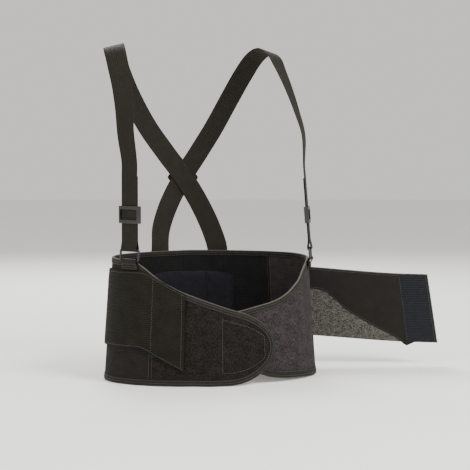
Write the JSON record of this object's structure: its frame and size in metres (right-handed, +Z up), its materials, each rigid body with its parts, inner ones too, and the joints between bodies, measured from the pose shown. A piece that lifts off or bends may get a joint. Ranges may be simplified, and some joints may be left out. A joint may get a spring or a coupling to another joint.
{
  "type": "lumbar support belt with shoulder braces",
  "caption": "Wrap-round lumbar support belt, high at the back, with elastic side pull bands and crossed shoulder braces.",
  "frame": {"origin": "centre of the waist opening, level with the belt's lower edge", "axes": "+Z up the wearer's body, -Y towards the wearer's front, +X towards the wearer's left"},
  "size_m": [0.6531, 0.3071, 0.5977],
  "materials": {
    "loop_fabric": "brushed loop pile",
    "side_elastic": "ribbed woven elastic",
    "back_mesh": "knitted spacer mesh",
    "binding_tape": "woven tape folded over the edge, stitched in two rows",
    "channel_tape": "woven tape",
    "spring_steel": "satin, inside its channel",
    "pad_fabric": "foam covered in brushed fabric",
    "band_lining": "mottled grey brushed pile",
    "band_elastic": "smooth, closely ribbed elastic",
    "tab_hook": "rows of fine hooks on woven tape",
    "closure_hook": "rows of fine hooks on woven tape",
    "brace_webbing": "elastic webbing with lengthwise ribs",
    "moulded_fitting": "satin moulded plastic"
  },
  "bodies": {
    "belt": {"back_panel": "back_mesh", "side_panel_left": "side_elastic", "side_panel_right": "side_elastic", "front_panel_left": "loop_fabric", "front_panel_right": "loop_fabric", "binding_top_back": "binding_tape", "binding_bottom_back": "binding_tape", "binding_top_left": "binding_tape", "binding_bottom_left": "binding_tape", "binding_top_right": "binding_tape", "binding_bottom_right": "binding_tape", "binding_end_left": "binding_tape", "stay_1": "spring_steel", "stay_2": "spring_steel", "stay_3": "spring_steel", "stay_4": "spring_steel", "stay_channel_1": "channel_tape", "stay_channel_2": "channel_tape", "stay_channel_3": "channel_tape", "stay_channel_4": "channel_tape", "lumbar_pad": "pad_fabric", "band_anchor_tape_left": "channel_tape", "band_anchor_tape_right": "channel_tape", "shoulder_strap_left": "brace_webbing", "shoulder_strap_right": "brace_webbing", "ring_tab_left": "brace_webbing", "ring_tab_right": "brace_webbing", "strap_ring_left": "moulded_fitting", "strap_ring_right": "moulded_fitting", "cross_patch": "brace_webbing", "strap_end_patch": "brace_webbing"},
    "flap": {"closure_flap": "loop_fabric", "closure_hook_patch": "closure_hook", "binding_flap": "binding_tape"},
    "band_left_1": {"pull_band_left_1": "band_lining", "band_facing_left_1": "band_elastic"},
    "band_left_2": {"pull_band_left_2": "band_lining", "band_facing_left_2": "band_elastic"},
    "band_left_3": {"pull_band_left_3": "band_lining", "band_facing_left_3": "band_elastic"},
    "band_left_4": {"pull_band_left_4": "band_lining", "band_facing_left_4": "band_elastic", "hook_patch_left": "tab_hook"},
    "band_right_1": {"pull_band_right_1": "band_lining", "band_facing_right_1": "band_elastic"},
    "band_right_2": {"pull_band_right_2": "band_lining", "band_facing_right_2": "band_elastic"},
    "band_right_3": {"pull_band_right_3": "band_lining", "band_facing_right_3": "band_elastic"},
    "band_right_4": {"pull_band_right_4": "band_lining", "band_facing_right_4": "band_elastic", "hook_patch_right": "tab_hook"},
    "slider_left_body": {"slider_left": "moulded_fitting"},
    "slider_right_body": {"slider_right": "moulded_fitting"}
  },
  "joints": [
    {"name": "closure_flap_bend", "type": "hinge", "parent": "belt", "child": "flap", "pos_m": [-0.09075, -0.12532, 0], "axis": [-0.0329, -0.045, -0.9984], "range_deg": [0, 75]},
    {"name": "band_left_bend_1", "type": "hinge", "parent": "belt", "child": "band_left_1", "pos_m": [0.13592, 0.10266, 0], "axis": [-0.0491, -0.0367, 0.9981], "range_deg": [-16, 4]},
    {"name": "band_left_bend_2", "type": "hinge", "parent": "band_left_1", "child": "band_left_2", "pos_m": [0.17732, 0.08759, 0], "axis": [-0.0642, -0.0311, 0.9975], "range_deg": [-22, 5.5]},
    {"name": "band_left_bend_3", "type": "hinge", "parent": "band_left_2", "child": "band_left_3", "pos_m": [0.27094, 0.05352, 0], "axis": [-0.0982, -0.0186, 0.995], "range_deg": [-56, 14]},
    {"name": "band_left_bend_4", "type": "hinge", "parent": "band_left_3", "child": "band_left_4", "pos_m": [0.36457, 0.01944, 0], "axis": [-0.1318, -0.0062, 0.9913], "range_deg": [-20, 5]},
    {"name": "band_right_bend_1", "type": "hinge", "parent": "belt", "child": "band_right_1", "pos_m": [-0.13772, 0.10531, 0], "axis": [-0.0491, 0.0367, -0.9981], "range_deg": [0, 16]},
    {"name": "band_right_bend_2", "type": "hinge", "parent": "band_right_1", "child": "band_right_2", "pos_m": [-0.17696, 0.06843, 0], "axis": [-0.0629, 0.0237, -0.9977], "range_deg": [0, 24]},
    {"name": "band_right_bend_3", "type": "hinge", "parent": "band_right_2", "child": "band_right_3", "pos_m": [-0.20033, -0.00868, 0], "axis": [-0.071, -0.003, -0.9975], "range_deg": [0, 36]},
    {"name": "band_right_bend_4", "type": "hinge", "parent": "band_right_3", "child": "band_right_4", "pos_m": [-0.16599, -0.08158, 0], "axis": [-0.0591, -0.0283, -0.9979], "range_deg": [0, 24]},
    {"name": "slider_left_travel", "type": "slide", "parent": "belt", "child": "slider_left_body", "axis": [-0.0741, 0.0249, 0.9969], "range_m": [-0.024, 0.044]},
    {"name": "slider_right_travel", "type": "slide", "parent": "belt", "child": "slider_right_body", "axis": [-0.0051, -0.0173, 0.9998], "range_m": [-0.024, 0.044]}
  ],
  "couplings": [
    {"joint": "band_left_bend_2", "follows": "band_left_bend_1", "ratio": 1.375},
    {"joint": "band_left_bend_3", "follows": "band_left_bend_1", "ratio": 3.5},
    {"joint": "band_left_bend_4", "follows": "band_left_bend_1", "ratio": 1.25},
    {"joint": "band_right_bend_2", "follows": "band_right_bend_1", "ratio": 1.5},
    {"joint": "band_right_bend_3", "follows": "band_right_bend_1", "ratio": 2.25},
    {"joint": "band_right_bend_4", "follows": "band_right_bend_1", "ratio": 1.5}
  ]
}
